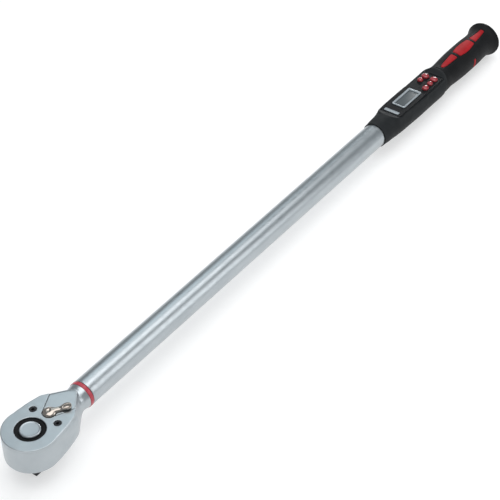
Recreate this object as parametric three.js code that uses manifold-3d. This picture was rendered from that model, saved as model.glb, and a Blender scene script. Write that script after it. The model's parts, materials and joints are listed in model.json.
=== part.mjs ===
// Electronic torque wrench with a 3/4 inch square drive, about 0.97 m long.
// Millimetres, +Z up. The origin is the centre of the square drive's end face. +X runs along the
// wrench from the head to the grip, and +Z comes out of the face that carries the reversing lever.
import * as THREE from "three";
import { mergeVertices } from "three/addons/utils/BufferGeometryUtils.js";
import Module from "manifold-3d";

const wasm = await Module();
wasm.setup();

// ---- driving dimensions -------------------------------------------------------------------
const GAP = 0.3; // between pieces that touch
const AXIS_HEIGHT = 46; // the tube's axis above the drive's end face

// Head, with heights measured from the tube's axis
const HEAD_R = 32;
const HEAD_TOP = 15.3;
const HEAD_BOTTOM = -20;
const NECK_R = 15.7;
const NECK_END = 78.9;
const SPIGOT_R = 13.2;
const SPIGOT_END = 104;
const GEAR_CAVITY_R = 21;
const CAVITY_FLOOR = -14.5;
const COVER_THICKNESS = 3.2;
const SEAM_START = [24.7, 6.0]; // the cover's V-shaped rear edge, where it meets the lever pocket
const SEAM_SLOPE = 0.463;
const COVER_SCREW = { x: 23.8, y: 17.8, headR: 4.15, shankR: 2 };
const DISC_R = 12;
const RING_R = 17.5;

// Drive
const SQUARE = 19.05;
const SQUARE_LENGTH = 23;
const COLLAR_R = 14;
const GEAR_TIP_R = 19.5;
const GEAR_ROOT_R = 17.9;
const GEAR_TEETH = 36;
const DETENT_HEIGHT = 11; // the detent ball's centre above the end face
const DETENT_R = 2.4;
const DETENT_TRAVEL = 1.2;

// Reversing lever and pawl, which turn about one axis
const LEVER_X = 30.5;
const LEVER_REST_DEG = -36;
const LEVER_BASE_R = 7.5;
const LEVER_REACH = 25;
const LEVER_SHAFT_R = 3;
const PAWL_R = 11.8;
const PAWL_REST_DEG = -6;

// Tube and sensor
const TUBE_R = 16;
const TUBE_BORE_R = 13.5;
const BAND_END = 84.4;
const TUBE_END = 930;
const BEAM_END = 172;

// Display housing
const HOUSING_START = 660;
const PANEL_START = 695.5;
const PANEL_END = 803;
const PANEL_TOP = 15;
const PANEL_THICKNESS = 2.5;
const PANEL_HALF_WIDTH = 16.4;
const SHOULDER = { y: 17.8, z: 14.4, flankR: 20.5 }; // the corner where the flat top meets the side
const BED_TOP = 1; // the tube's upper half is milled away above this to make room for the board
const PARTING_X = 805.5; // the slanted joint between housing and grip, at the axis height
const PARTING_SLOPE = 0.45;
const HOUSING_SCREWS = [
  { place: "front", x: 678, headBottom: -18.1 },
  { place: "rear", x: 788, headBottom: -20.4 },
];
const LCD = { start: 715, end: 757.7, halfWidth: 10, border: 3.1 };
const NAMEPLATE = { start: 697.9, end: 703.3, halfWidth: 11.1 };
const BOARD_TOP = 4.6;
const BUTTON_TRAVEL = 0.8;
const BUTTON_RISE = 3.1; // above the panel
const BUTTONS = [ // the left is +Y
  { name: "button_rear_left", x: 793, y: 6.7, halfLength: 4.7, halfWidth: 5.3 },
  { name: "button_rear_right", x: 793, y: -6.7, halfLength: 4.7, halfWidth: 5.3 },
  { name: "button_middle_left", x: 781.8, y: 7.7, halfLength: 3.8, halfWidth: 3.9 },
  { name: "button_middle_right", x: 781.8, y: -7.7, halfLength: 3.8, halfWidth: 3.9 },
  { name: "button_front", x: 769.8, y: -8.2, halfLength: 4.8, halfWidth: 4.3 },
];

// Grip and battery compartment
const GRIP_END = 938;
const FLANGE_R = 24.3;
const SLEEVE_BORE_R = TUBE_R + GAP;
const INSERT_ANGLE = 97; // the red inserts' centre line, in degrees from +Y towards +Z
const INSERT_DEPTH = 1.2;
const INSERT_PROUD = 0.35;
const CELL_R = 7.1;
const CELL_LENGTH = 50;
const CELLS_START = 820;
const CAP_R = 15.9;
const CAP_END = 942;

// ---- finishes -----------------------------------------------------------------------------
const finish = (color, roughness, metalness) =>
  new THREE.MeshStandardMaterial({ color, roughness, metalness });
const satinChrome = finish(0xb4c0c8, 0.35, 1);
const polishedNickel = finish(0xc9c2b8, 0.12, 1);
const blackSteel = finish(0x1a1b1d, 0.45, 0.9);
const springSteel = finish(0x8c9096, 0.3, 1);
const blackPlastic = finish(0x2b2d30, 0.6, 0);
const panelPlastic = finish(0x212325, 0.45, 0);
const blackRubber = finish(0x1a1b1c, 0.8, 0);
const redRubber = finish(0xab262c, 0.6, 0);
const redPlastic = finish(0xb8242e, 0.25, 0);
const redEnamel = finish(0xb03a4b, 0.4, 0);
const silverPaint = finish(0x9aa3aa, 0.4, 0.4);
const displayGlass = finish(0x59645f, 0.1, 0);
const boardGreen = finish(0x1f5c3a, 0.5, 0);
const brass = finish(0xb08d45, 0.35, 1);

// ---- solids -------------------------------------------------------------------------------
const WELD = 1e-4;
const ROUND = 36; // sides of a large circle
const SMALL_ROUND = 14;

function solid(geometry) {
  const bare = new THREE.BufferGeometry();
  const source = geometry.index ? geometry.toNonIndexed() : geometry;
  bare.setAttribute("position", source.getAttribute("position"));
  const merged = mergeVertices(bare, WELD);
  const triVerts = new Uint32Array(merged.index.array);
  const vertProperties = new Float32Array(merged.attributes.position.array);
  const made = new wasm.Manifold(new wasm.Mesh({ numProp: 3, vertProperties, triVerts }));
  if (made.volume() > 0) return made;
  for (let i = 0; i < triVerts.length; i += 3) {
    [triVerts[i + 1], triVerts[i + 2]] = [triVerts[i + 2], triVerts[i + 1]];
  }
  return new wasm.Manifold(new wasm.Mesh({ numProp: 3, vertProperties, triVerts }));
}

const join = (first, ...others) => others.reduce((sum, other) => sum.add(other), first);
const cut = (first, ...others) => others.reduce((rest, other) => rest.subtract(other), first);

function block([x0, y0, z0], [x1, y1, z1]) {
  const geometry = new THREE.BoxGeometry(x1 - x0, y1 - y0, z1 - z0);
  return solid(geometry.translate((x0 + x1) / 2, (y0 + y1) / 2, (z0 + z1) / 2));
}

// A profile of [along, radius] points that starts and ends on the axis or closes on itself.
function turned(profile, sides) {
  const points = profile.map(([along, radius]) => new THREE.Vector2(radius, along));
  return new THREE.LatheGeometry(points, sides);
}
const turnedX = (profile, sides = ROUND) => solid(turned(profile, sides).rotateZ(-Math.PI / 2));
const turnedZ = (profile, sides = ROUND) => solid(turned(profile, sides).rotateX(Math.PI / 2));

const rod = (start, end, radius) => [[start, 0], [start, radius], [end, radius], [end, 0]];
const pipe = (start, end, outer, inner) => [
  [start, inner], [start, outer], [end, outer], [end, inner], [start, inner],
];
const rodX = (x0, x1, radius, y = 0, z = 0, sides = SMALL_ROUND) =>
  turnedX(rod(x0, x1, radius), sides).translate([0, y, z]);
const rodZ = (z0, z1, radius, x = 0, y = 0, sides = SMALL_ROUND) =>
  turnedZ(rod(z0, z1, radius), sides).translate([x, y, 0]);

function prism(shape, z0, z1, curveSegments = 8) {
  const settings = { depth: z1 - z0, bevelEnabled: false, curveSegments };
  return solid(new THREE.ExtrudeGeometry(shape, settings).translate(0, 0, z0));
}

function polygon(points) {
  return new THREE.Shape(points.map(([x, y]) => new THREE.Vector2(x, y)));
}

function roundedRectangle(x0, y0, x1, y1, r) {
  const shape = new THREE.Shape();
  shape.moveTo(x0 + r, y0);
  shape.absarc(x1 - r, y0 + r, r, -Math.PI / 2, 0);
  shape.absarc(x1 - r, y1 - r, r, 0, Math.PI / 2);
  shape.absarc(x0 + r, y1 - r, r, Math.PI / 2, Math.PI);
  shape.absarc(x0 + r, y0 + r, r, Math.PI, Math.PI * 1.5);
  return shape;
}

// Closed skin over rings of points, each ring having the same number of points.
function loft(rings) {
  const count = rings[0].length;
  const middles = [rings[0], rings[rings.length - 1]].map((ring) =>
    ring.reduce((sum, p) => sum.add(p), new THREE.Vector3()).divideScalar(count));
  const points = rings.flat().concat(middles);
  const firstMiddle = points.length - 2;
  const lastRing = (rings.length - 1) * count;
  const faces = [];
  for (let i = 0; i < count; i++) {
    const next = (i + 1) % count;
    faces.push(firstMiddle, next, i);
    faces.push(firstMiddle + 1, lastRing + i, lastRing + next);
    for (let ring = 0; ring < lastRing; ring += count) {
      faces.push(ring + i, ring + next, ring + count + next);
      faces.push(ring + i, ring + count + next, ring + count + i);
    }
  }
  const geometry = new THREE.BufferGeometry().setFromPoints(points);
  geometry.setIndex(faces);
  return solid(geometry);
}

// A smooth function of x through the given [x, value] points.
function through(points) {
  const values = points.map((p) => p[1]);
  const fit = new THREE.CubicInterpolant(points.map((p) => p[0]), values, 1);
  return (x) => fit.evaluate(x)[0];
}

const stations = (from, to, count) =>
  Array.from({ length: count + 1 }, (_, i) => from + ((to - from) * i) / count);

// ---- scene graph --------------------------------------------------------------------------
const group = new THREE.Group();
const wrench = new THREE.Group(); // its origin is on the tube's axis, over the drive
wrench.position.z = AXIS_HEIGHT;
group.add(wrench);

function add(name, shape, material) {
  const { vertProperties, triVerts, numProp } = shape.getMesh();
  const geometry = new THREE.BufferGeometry();
  geometry.setAttribute("position", new THREE.BufferAttribute(vertProperties, numProp));
  geometry.setIndex(new THREE.BufferAttribute(triVerts, 1));
  geometry.computeVertexNormals();
  const mesh = new THREE.Mesh(geometry, material);
  mesh.name = name;
  wrench.add(mesh);
}

// ---- head ---------------------------------------------------------------------------------
const headWidth = through([
  [0, 32], [16, 31.8], [32, 31], [38, 30.2], [45, 28.2], [51, 24.1], [58, 20], [64, 16.7],
  [70, 14.9], [74, 15], [NECK_END, NECK_R],
]);
const headCrown = through([
  [-32, 19.4], [46, 19.4], [58, 18.2], [64, 17], [71, HEAD_TOP], [74, 15.2], [NECK_END, NECK_R],
]);
const headBelly = through([
  [-32, -HEAD_BOTTOM], [50, -HEAD_BOTTOM], [58, 18.9], [64, 17.2], [70, 15.3], [74, 15.2],
  [NECK_END, NECK_R],
]);
const upperSquareness = through([
  [-32, 14], [0, 14], [5, 8.6], [15, 5.6], [25, 4.4], [35, 3.9], [44, 3.6], [51, 3.1], [58, 2.6],
  [64, 2.2], [70, 2], [NECK_END, 2],
]);
const lowerSquareness = through([
  [-32, 26], [5, 24], [15, 14], [25, 8], [35, 5.2], [44, 4.2], [51, 3.4], [58, 2.7], [64, 2.2],
  [70, 2], [NECK_END, 2],
]);

// A superellipse: nearly square in the head, a circle in the neck.
function headRing(x) {
  const width = x < 0 ? Math.sqrt(HEAD_R ** 2 - x ** 2) : headWidth(x);
  return Array.from({ length: ROUND }, (_, i) => {
    const angle = ((i + 0.5) * 2 * Math.PI) / ROUND;
    const c = Math.cos(angle);
    const s = Math.sin(angle);
    const height = s > 0 ? headCrown(x) : headBelly(x);
    const power = 2 / (s > 0 ? upperSquareness(x) : lowerSquareness(x));
    const y = width * Math.sign(c) * Math.abs(c) ** power;
    return new THREE.Vector3(x, y, height * Math.sign(s) * Math.abs(s) ** power);
  });
}

function headBlank() {
  const front = stations(88, 0, 6).map((deg) => -HEAD_R * Math.sin(THREE.MathUtils.degToRad(deg)));
  const rear = stations(0, NECK_END, 14).slice(1);
  const flatTop = block([-40, -40, HEAD_TOP], [71.5, 40, 30]);
  return cut(loft([...front, ...rear].map(headRing)), flatTop);
}

// Everything in front of the cover's V-shaped rear edge.
function coverRegion(offset, z0, z1) {
  const [x, y] = [SEAM_START[0] + offset, SEAM_START[1]];
  const reach = 45;
  const far = x + (reach - y) / SEAM_SLOPE;
  const outline = [[-reach, -reach], [far, -reach], [x, -y], [x, y], [far, reach], [-reach, reach]];
  return prism(polygon(outline), z0, z1);
}

const leverPocket = () => rodZ(HEAD_TOP - 1.2, HEAD_TOP + 5, LEVER_BASE_R + 0.8, LEVER_X, 0, ROUND);
const coverScrewSides = [["left", 1], ["right", -1]];

function addHeadHousing() {
  const coverFloor = HEAD_TOP - COVER_THICKNESS - GAP;
  const spigot = rodX(NECK_END - 5, SPIGOT_END, SPIGOT_R, 0, 0, ROUND);
  const shell = join(headBlank(), spigot);
  const screwHoles = coverScrewSides.map(([, side]) =>
    rodZ(-2, coverFloor + 1, COVER_SCREW.shankR + GAP, COVER_SCREW.x, side * COVER_SCREW.y));
  add("head_housing", cut(
    shell,
    coverRegion(GAP, coverFloor, HEAD_TOP + 1),
    rodZ(CAVITY_FLOOR, coverFloor + 1, GEAR_CAVITY_R, 0, 0, ROUND),
    rodZ(HEAD_BOTTOM - 1, CAVITY_FLOOR + 1, COLLAR_R + 1, 0, 0, ROUND),
    rodZ(-8, 7, PAWL_R + 0.7, LEVER_X, 0, ROUND),
    rodX(LEVER_X + PAWL_R, LEVER_X + PAWL_R + 12, 2.7),
    rodZ(6, HEAD_TOP, LEVER_SHAFT_R + GAP, LEVER_X),
    leverPocket(),
    rodX(90, SPIGOT_END + 1, 6.3),
    rodZ(-SPIGOT_R - 1, -4, 2 + GAP, 97),
    ...screwHoles,
  ), satinChrome);
}

function addCover() {
  const floor = HEAD_TOP - COVER_THICKNESS;
  const countersinks = coverScrewSides.map(([, side]) =>
    rodZ(floor - 1, HEAD_TOP + 1, COVER_SCREW.headR + 0.25, COVER_SCREW.x, side * COVER_SCREW.y));
  add("cover_plate", cut(
    headBlank().intersect(coverRegion(0, floor, HEAD_TOP + 1)),
    rodZ(floor - 1, HEAD_TOP + 1, RING_R + 0.2, 0, 0, ROUND),
    leverPocket(),
    ...countersinks,
  ), satinChrome);
  for (const [side, sign] of coverScrewSides) {
    const head = rodZ(floor - GAP, HEAD_TOP - 0.3, COVER_SCREW.headR);
    const shank = rodZ(-1, floor, COVER_SCREW.shankR);
    const socket = rodZ(floor, HEAD_TOP + 1, 1.8, 0, 0, 6);
    const screw = cut(join(head, shank), socket).translate([COVER_SCREW.x, sign * COVER_SCREW.y, 0]);
    add(`cover_screw_${side}`, screw, blackSteel);
  }
  add("seal_ring", turnedZ(pipe(floor - 2.2, HEAD_TOP - 0.9, RING_R, DISC_R + 0.4)), blackRubber);
}

// ---- drive --------------------------------------------------------------------------------
function gearOutline() {
  const step = (2 * Math.PI) / GEAR_TEETH;
  const points = [];
  for (let tooth = 0; tooth < GEAR_TEETH; tooth++) {
    const start = tooth * step;
    for (const [share, radius] of [[0, GEAR_ROOT_R], [0.4, GEAR_TIP_R], [0.6, GEAR_TIP_R]]) {
      const angle = start + share * step;
      points.push([radius * Math.cos(angle), radius * Math.sin(angle)]);
    }
  }
  return polygon(points);
}

function addDrive() {
  const endFace = -AXIS_HEIGHT;
  const half = SQUARE / 2;
  const chamfer = 1;
  const squareTop = endFace + SQUARE_LENGTH;
  const outline = roundedRectangle(-half, -half, half, half, 1.2);
  const tip = new THREE.ExtrudeGeometry(outline, {
    depth: chamfer, bevelEnabled: false, curveSegments: 3,
  });
  const taper = tip.attributes.position;
  for (let i = 0; i < taper.count; i++) {
    if (taper.getZ(i) > 0) continue;
    taper.setXY(i, taper.getX(i) * (1 - chamfer / half), taper.getY(i) * (1 - chamfer / half));
  }
  const detentZ = endFace + DETENT_HEIGHT;
  const seatTop = HEAD_TOP - COVER_THICKNESS - 2.6;
  add("ratchet_anvil", cut(
    join(
      solid(tip.translate(0, 0, endFace)),
      prism(outline, endFace + chamfer, squareTop + 1, 3),
      rodZ(squareTop, CAVITY_FLOOR + 1, COLLAR_R, 0, 0, ROUND),
      prism(gearOutline(), CAVITY_FLOOR + GAP, seatTop),
      rodZ(seatTop - 1, HEAD_TOP - 3, DISC_R - 2, 0, 0, ROUND),
    ),
    rodX(2, half + 1, DETENT_R + 0.2, 0, detentZ),
  ), blackSteel);
  const disc = [
    [HEAD_TOP - 3, 0], [HEAD_TOP - 3, DISC_R], [HEAD_TOP - 0.2, DISC_R], [HEAD_TOP + 0.2, DISC_R - 0.4],
    [HEAD_TOP + 0.2, DISC_R - 1.2], [HEAD_TOP, DISC_R - 1.6], [HEAD_TOP, 0],
  ];
  add("anvil_cap", turnedZ(disc), satinChrome);
  const ball = solid(new THREE.SphereGeometry(DETENT_R, 12, 8));
  add("detent_ball", ball.translate([half + DETENT_TRAVEL - DETENT_R, 0, detentZ]), springSteel);
  const springEnd = half + DETENT_TRAVEL - 2 * DETENT_R - 0.1;
  add("detent_spring", coilX(2.1, springEnd, 1.6, 0.35, 3).translate([0, 0, detentZ]), springSteel);
}

// A wire coil along X whose ends are flat cuts of the wire.
function coilX(x0, x1, radius, wire, turns) {
  const middle = (t) => {
    const angle = t * turns * 2 * Math.PI;
    const x = x0 + wire + t * (x1 - x0 - 2 * wire);
    return new THREE.Vector3(x, radius * Math.cos(angle), radius * Math.sin(angle));
  };
  const steps = turns * 8;
  const path = new THREE.CatmullRomCurve3(stations(0, 1, steps).map(middle));
  const section = new THREE.Shape().absarc(0, 0, wire, 0, Math.PI * 2);
  const settings = { extrudePath: path, steps, curveSegments: 3, bevelEnabled: false };
  return solid(new THREE.ExtrudeGeometry(section, settings));
}

// ---- reversing lever and pawl --------------------------------------------------------------
function addLever() {
  const base = HEAD_TOP - 0.8;
  const dome = [
    [base, 0], [base, LEVER_BASE_R], [HEAD_TOP + 1, LEVER_BASE_R], [HEAD_TOP + 2.4, 6.3],
    [HEAD_TOP + 3.2, 4], [HEAD_TOP + 3.5, 0],
  ];
  const arm = [[0, -5], [10, -3.2], [16, -3], [LEVER_REACH - 1, -4.5], [LEVER_REACH, 0],
    [LEVER_REACH - 1, 4.5], [16, 3], [10, 3.2], [0, 5]];
  const tab = [[15, -3], [LEVER_REACH - 1, -4.4], [LEVER_REACH, 0], [LEVER_REACH - 1, 4.4], [15, 3]];
  const thumbTop = HEAD_TOP + 6;
  const ramp = block([0, -10, 0], [30, 10, 8]).rotate([0, -28, 0]).translate([9, 0, HEAD_TOP + 2.4]);
  const lever = join(
    turnedZ(dome, 28),
    rodZ(-7, base + 1, LEVER_SHAFT_R),
    prism(polygon(arm), HEAD_TOP + GAP, HEAD_TOP + 2.6),
    cut(prism(polygon(tab), HEAD_TOP + 1, thumbTop), ramp),
  );
  add("reversing_lever", lever.rotate([0, 0, LEVER_REST_DEG]).translate([LEVER_X, 0, 0]), polishedNickel);
}

// The pawl is relieved for the gear at both of its engaged positions.
function addPawl() {
  const relief = [PAWL_REST_DEG, -PAWL_REST_DEG].map((deg) =>
    rodZ(-10, 10, GEAR_TIP_R + 0.5, -LEVER_X, 0, ROUND).rotate([0, 0, deg]));
  const blank = rodZ(-6.5, 5.5, PAWL_R, 0, 0, 28);
  const pawl = cut(blank, ...relief, rodZ(-8, 8, LEVER_SHAFT_R + GAP));
  add("pawl", pawl.rotate([0, 0, PAWL_REST_DEG]).translate([LEVER_X, 0, 0]), blackSteel);
  const back = LEVER_X + PAWL_R + 0.25;
  const nose = [[back, 0], [back + 0.6, 1.6], [back + 2, 2.3], [back + 4.5, 2.3], [back + 4.5, 0]];
  add("pawl_plunger", turnedX(nose, SMALL_ROUND), springSteel);
  add("pawl_spring", coilX(back + 4.7, back + 11.4, 1.8, 0.35, 4), springSteel);
}

// ---- tube, band and sensor -----------------------------------------------------------------
function addTube() {
  const band = pipe(NECK_END + 0.1, BAND_END - 0.1, TUBE_R + 0.2, SPIGOT_R + GAP);
  add("neck_band", turnedX(band), redEnamel);
  const tube = turnedX(pipe(BAND_END, TUBE_END, TUBE_R, TUBE_BORE_R));
  const bed = block([PANEL_START - 6.5, -20, BED_TOP], [PANEL_END + 5, 20, 20]);
  const pinHole = rodZ(-20, 0, 2 + GAP, 97);
  const screwHoles = HOUSING_SCREWS.map(({ x }) => rodZ(-20, 0, 1.7, x));
  add("main_tube", cut(tube, bed, pinHole, ...screwHoles), satinChrome);
  add("head_pin", rodZ(-15.7, -6.8, 2, 97), springSteel);
}

function addSensor() {
  const neck = 104.6;
  const beam = join(
    rodX(90.3, neck, 6),
    block([neck - 0.3, -4, -6], [BEAM_END - 12, 4, 6]),
    rodX(BEAM_END - 12, BEAM_END, SPIGOT_R, 0, 0, ROUND),
  );
  const leadNotch = rodX(BEAM_END - 13, BEAM_END + 1, 2.8, 8.6, -8.6);
  add("sensor_beam", cut(beam, leadNotch), springSteel);
  add("strain_gauge_left", block([124, 4.05, -3], [136, 4.6, 3]), boardGreen);
  add("strain_gauge_right", block([124, -4.6, -3], [136, -4.05, 3]), boardGreen);
  const route = [
    [136.4, 6, -1], [143, 6.6, -4.5], [152, 7.4, -7.4], [BEAM_END + 4, 7.4, -7.4], [430, 7.4, -7.4],
    [684, 7.4, -7.4], [695, 6.6, -5], [705.5, 6, 0.4],
  ].map(([x, y, z]) => new THREE.Vector3(x, y, z));
  const settings = {
    extrudePath: new THREE.CatmullRomCurve3(route, false, "centripetal"),
    steps: 36, curveSegments: 2, bevelEnabled: false,
  };
  const section = new THREE.Shape().absarc(0, 0, 1.2, 0, Math.PI * 2);
  add("sensor_lead", solid(new THREE.ExtrudeGeometry(section, settings)), blackRubber);
  add("lead_plug", block([706.2, 2, -1.5], [714, 10, 2.6]), panelPlastic);
}

// ---- display housing -----------------------------------------------------------------------
const housingRadius = through([
  [HOUSING_START, 17.3], [664, 17.5], [672, 18.2], [680, 18.6], [688, 19.3], [704, 20.2],
  [720, 20.5], [745, 21], [770, 20.8], [800, 20.8], [806, 20.4], [812, 19.6], [820, 19.2],
]);
const housingCrown = through([
  [HOUSING_START, 17.3], [664, 17.5], [672, 18.2], [682, 18.6], [687, 18.2], [PANEL_START - 0.5, PANEL_TOP],
]);
const housingTail = through([[PANEL_END + 1, PANEL_TOP], [810, 18.4], [814, 19.4], [820, 19.2]]);

// A circle with two shoulders that carry the flat top where the panel lies.
function housingRing(x) {
  const radius = housingRadius(x);
  const onPanel = THREE.MathUtils.smoothstep(x, 684, 697) - THREE.MathUtils.smoothstep(x, 800, 810);
  const shoulderReach = Math.hypot(SHOULDER.y, SHOULDER.z);
  const shoulder = Math.atan2(SHOULDER.z, SHOULDER.y);
  const flank = Math.acos(SHOULDER.flankR / shoulderReach);
  let top = PANEL_TOP;
  if (x < PANEL_START) top = housingCrown(x);
  if (x > PANEL_END + 1) top = housingTail(x);
  return Array.from({ length: ROUND }, (_, i) => {
    const angle = ((i + 0.5) * 2 * Math.PI) / ROUND;
    const fromTop = Math.abs(Math.PI / 2 - angle);
    const fromShoulder = Math.abs(Math.PI / 2 - shoulder - fromTop);
    const stretch = 1 / Math.cos(Math.max(0, flank - fromShoulder));
    const swell = SHOULDER.flankR * (stretch - 1) * onPanel;
    const reach = radius + swell;
    const point = new THREE.Vector3(x, reach * Math.cos(angle), reach * Math.sin(angle));
    point.z = Math.min(point.z, top);
    return point;
  });
}

function partingBlock(side, offset) {
  const reach = 40;
  const near = PARTING_X + offset;
  const edge = (z) => near + PARTING_SLOPE * z;
  const far = PARTING_X + side * 200;
  const outline = polygon([[edge(-reach), -reach], [edge(reach), reach], [far, reach], [far, -reach]]);
  const shape = solid(new THREE.ExtrudeGeometry(outline, { depth: 2 * reach, bevelEnabled: false }));
  return shape.rotate([90, 0, 0]).translate([0, reach, 0]);
}

function addHousing() {
  const xs = [
    HOUSING_START, 661, 664, 672, 680, 684, 688, 691, PANEL_START - 0.5, 698, 704, 712, 720, 733,
    745, 757, 770, 785, PANEL_END - 3, PANEL_END + 1, 806, 809, 812, 816, 820,
  ];
  const bore = cut(
    rodX(HOUSING_START - 5, 825, SLEEVE_BORE_R, 0, 0, ROUND),
    block([PANEL_START - 6, -20, BED_TOP + GAP], [PANEL_END + 4.5, 20, 20]),
  );
  const panelBed = prism(roundedRectangle(
    PANEL_START - 0.3, -PANEL_HALF_WIDTH - 0.3, PANEL_END + 0.3, PANEL_HALF_WIDTH + 0.3, 3.3,
  ), PANEL_TOP - PANEL_THICKNESS - 0.1, PANEL_TOP + 3, 4);
  const screwHoles = HOUSING_SCREWS.flatMap(({ x, headBottom }) => [
    rodZ(-25, headBottom + 2.1, 3.1, x),
    rodZ(-25, -10, 1.7, x),
  ]);
  add("display_housing", cut(
    loft(xs.map(housingRing)),
    bore,
    panelBed,
    block([699.5, -13.2, 3], [801.5, 13.2, PANEL_TOP - 1]),
    block([699.5, -11, -1], [801.5, 11, 4]),
    partingBlock(1, 0),
    ...screwHoles,
  ), blackPlastic);
  for (const { place, x, headBottom } of HOUSING_SCREWS) {
    const screw = join(rodZ(headBottom, headBottom + 2, 2.8, x), rodZ(headBottom + 1, -12, 1.4, x));
    const socket = rodZ(headBottom - 1, headBottom + 1.2, 1.3, x, 0, 6);
    add(`housing_screw_${place}`, cut(screw, socket), blackSteel);
  }
}

function buttonSolid({ x, y, halfLength, halfWidth }, grow, dome) {
  const top = PANEL_TOP + BUTTON_RISE;
  const crown = dome
    ? stations(0, 90, 4).map((deg) => {
      const a = THREE.MathUtils.degToRad(deg);
      return [PANEL_TOP + 0.4 + (BUTTON_RISE - 0.4) * Math.sin(a), Math.cos(a)];
    })
    : [[top + 2, 1], [top + 2, 0]];
  const profile = [[PANEL_TOP - 3.2, 0], [PANEL_TOP - 3.2, 1], ...crown];
  return turnedZ(profile, 18).scale([halfLength + grow, halfWidth + grow, 1]).translate([x, y, 0]);
}

function addPanel() {
  const floor = PANEL_TOP - PANEL_THICKNESS;
  const outline = roundedRectangle(PANEL_START, -PANEL_HALF_WIDTH, PANEL_END, PANEL_HALF_WIDTH, 3);
  const { start, end, halfWidth, border } = LCD;
  const window = (grow, z0, z1) => prism(roundedRectangle(
    start + border - grow, -halfWidth + border - grow, end - border + grow, halfWidth - border + grow, 0.6,
  ), z0, z1, 2);
  add("face_panel", cut(
    prism(outline, floor, PANEL_TOP, 4),
    window(0, floor - 1, PANEL_TOP + 1),
    ...BUTTONS.map((button) => buttonSolid(button, GAP, false)),
  ), panelPlastic);
  const rim = roundedRectangle(start, -halfWidth, end, halfWidth, 1.8);
  const frame = prism(rim, PANEL_TOP, PANEL_TOP + 0.9, 4);
  add("lcd_bezel", cut(frame, window(0, floor, PANEL_TOP + 2)), silverPaint);
  add("lcd_window", window(-GAP, floor + 1.1, PANEL_TOP - 0.1), displayGlass);
  add("lcd_module", block([start + 1, -10.4, BOARD_TOP + 0.1], [end - 1, 10.4, floor - GAP]), silverPaint);
  const plateHalf = NAMEPLATE.halfWidth;
  const plate = roundedRectangle(NAMEPLATE.start, -plateHalf, NAMEPLATE.end, plateHalf, 1.4);
  add("nameplate", prism(plate, PANEL_TOP, PANEL_TOP + 0.5, 3), silverPaint);
  add("circuit_board", block([700, -12.9, BOARD_TOP - 1.6], [801, 12.9, BOARD_TOP]), boardGreen);
  const matTop = floor - 1 - BUTTON_TRAVEL - GAP;
  add("keypad_mat", block([762, -12.9, matTop - 1.5], [799.5, 12.9, matTop]), blackRubber);
  add("buzzer", rodZ(BOARD_TOP + 0.1, BOARD_TOP + 3.1, 5, 775, 0, SMALL_ROUND), panelPlastic);
  for (const button of BUTTONS) {
    const flange = turnedZ(rod(floor - 1, floor - 0.2, 1), 18)
      .scale([button.halfLength + 0.4, button.halfWidth + 0.4, 1])
      .translate([button.x, button.y, 0]);
    add(button.name, join(buttonSolid(button, 0, true), flange), redPlastic);
  }
}

// ---- grip ----------------------------------------------------------------------------------
const gripRadius = through([
  [780, 19.4], [808, 19.4], [816, 19.1], [824, 18.6], [840, 19.4], [856, 20.2], [880, 20.4],
  [896, 20.2], [912, 19.5], [918, 19.6], [926, 21], [930, 22.6], [933, FLANGE_R],
]);

// A piece of the grip's skin between x0 and x1 that reaches halfAngle(x) to each side of a line.
function skinPatch(x0, x1, centreDeg, halfAngle, proud, depth, grow = 0) {
  const across = 4;
  const rings = stations(x0 - grow, x1 + grow, 6).map((x) => {
    const inside = THREE.MathUtils.clamp(x, x0, x1);
    const outer = gripRadius(x) + proud;
    const inner = gripRadius(x) - depth - grow;
    const reach = halfAngle(inside) + THREE.MathUtils.radToDeg(grow / outer);
    const angles = stations(-1, 1, across).map((t) => THREE.MathUtils.degToRad(centreDeg + t * reach));
    const at = (radius) => (angle) =>
      new THREE.Vector3(x, radius * Math.cos(angle), radius * Math.sin(angle));
    return [...angles.map(at(outer)), ...angles.reverse().map(at(inner))];
  });
  return loft(rings);
}

const INSERTS = [
  ["grip_insert_front", [[820, 5.4], [825, 9.2], [838, 13], [852, 15.2]]],
  ["grip_insert_middle", [[857.6, 18.2], [868, 23.2], [878, 24.2], [894.4, 18]]],
  ["grip_insert_rear", [[899, 15.8], [912, 12.6], [926, 8.2]]],
].map(([name, widths]) => ({ name, x0: widths[0][0], x1: widths.at(-1)[0], half: through(widths) }));
const MARKS = [
  { name: "grip_mark_right", centre: 185 },
  { name: "grip_mark_left", centre: -5 },
];
const MARK = { x0: 877.5, x1: 882, half: () => 19 };

function addGrip() {
  const xs = [790, 812, 824, 832, 840, 850, 864, 880, 896, 912, 918, 922, 926, 930, 933];
  const profile = xs.map((x) => [x, gripRadius(x)]);
  const rim = [[933.6, FLANGE_R], [GRIP_END - 0.8, FLANGE_R], [GRIP_END, FLANGE_R - 0.8]];
  const bore = [[GRIP_END, SLEEVE_BORE_R], [790, SLEEVE_BORE_R], profile[0]];
  const pockets = [
    ...INSERTS.map(({ x0, x1, half }) => skinPatch(x0, x1, INSERT_ANGLE, half, 2, INSERT_DEPTH, GAP)),
    ...MARKS.map(({ centre }) => skinPatch(MARK.x0, MARK.x1, centre, MARK.half, 2, INSERT_DEPTH, GAP)),
  ];
  const sleeve = turnedX([...profile, ...rim, ...bore]);
  add("grip_sleeve", cut(sleeve, partingBlock(-1, GAP), ...pockets), blackRubber);
  for (const { name, x0, x1, half } of INSERTS) {
    add(name, skinPatch(x0, x1, INSERT_ANGLE, half, INSERT_PROUD, INSERT_DEPTH), redRubber);
  }
  for (const { name, centre } of MARKS) {
    add(name, skinPatch(MARK.x0, MARK.x1, centre, MARK.half, 0.1, INSERT_DEPTH), redRubber);
  }
}

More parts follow.
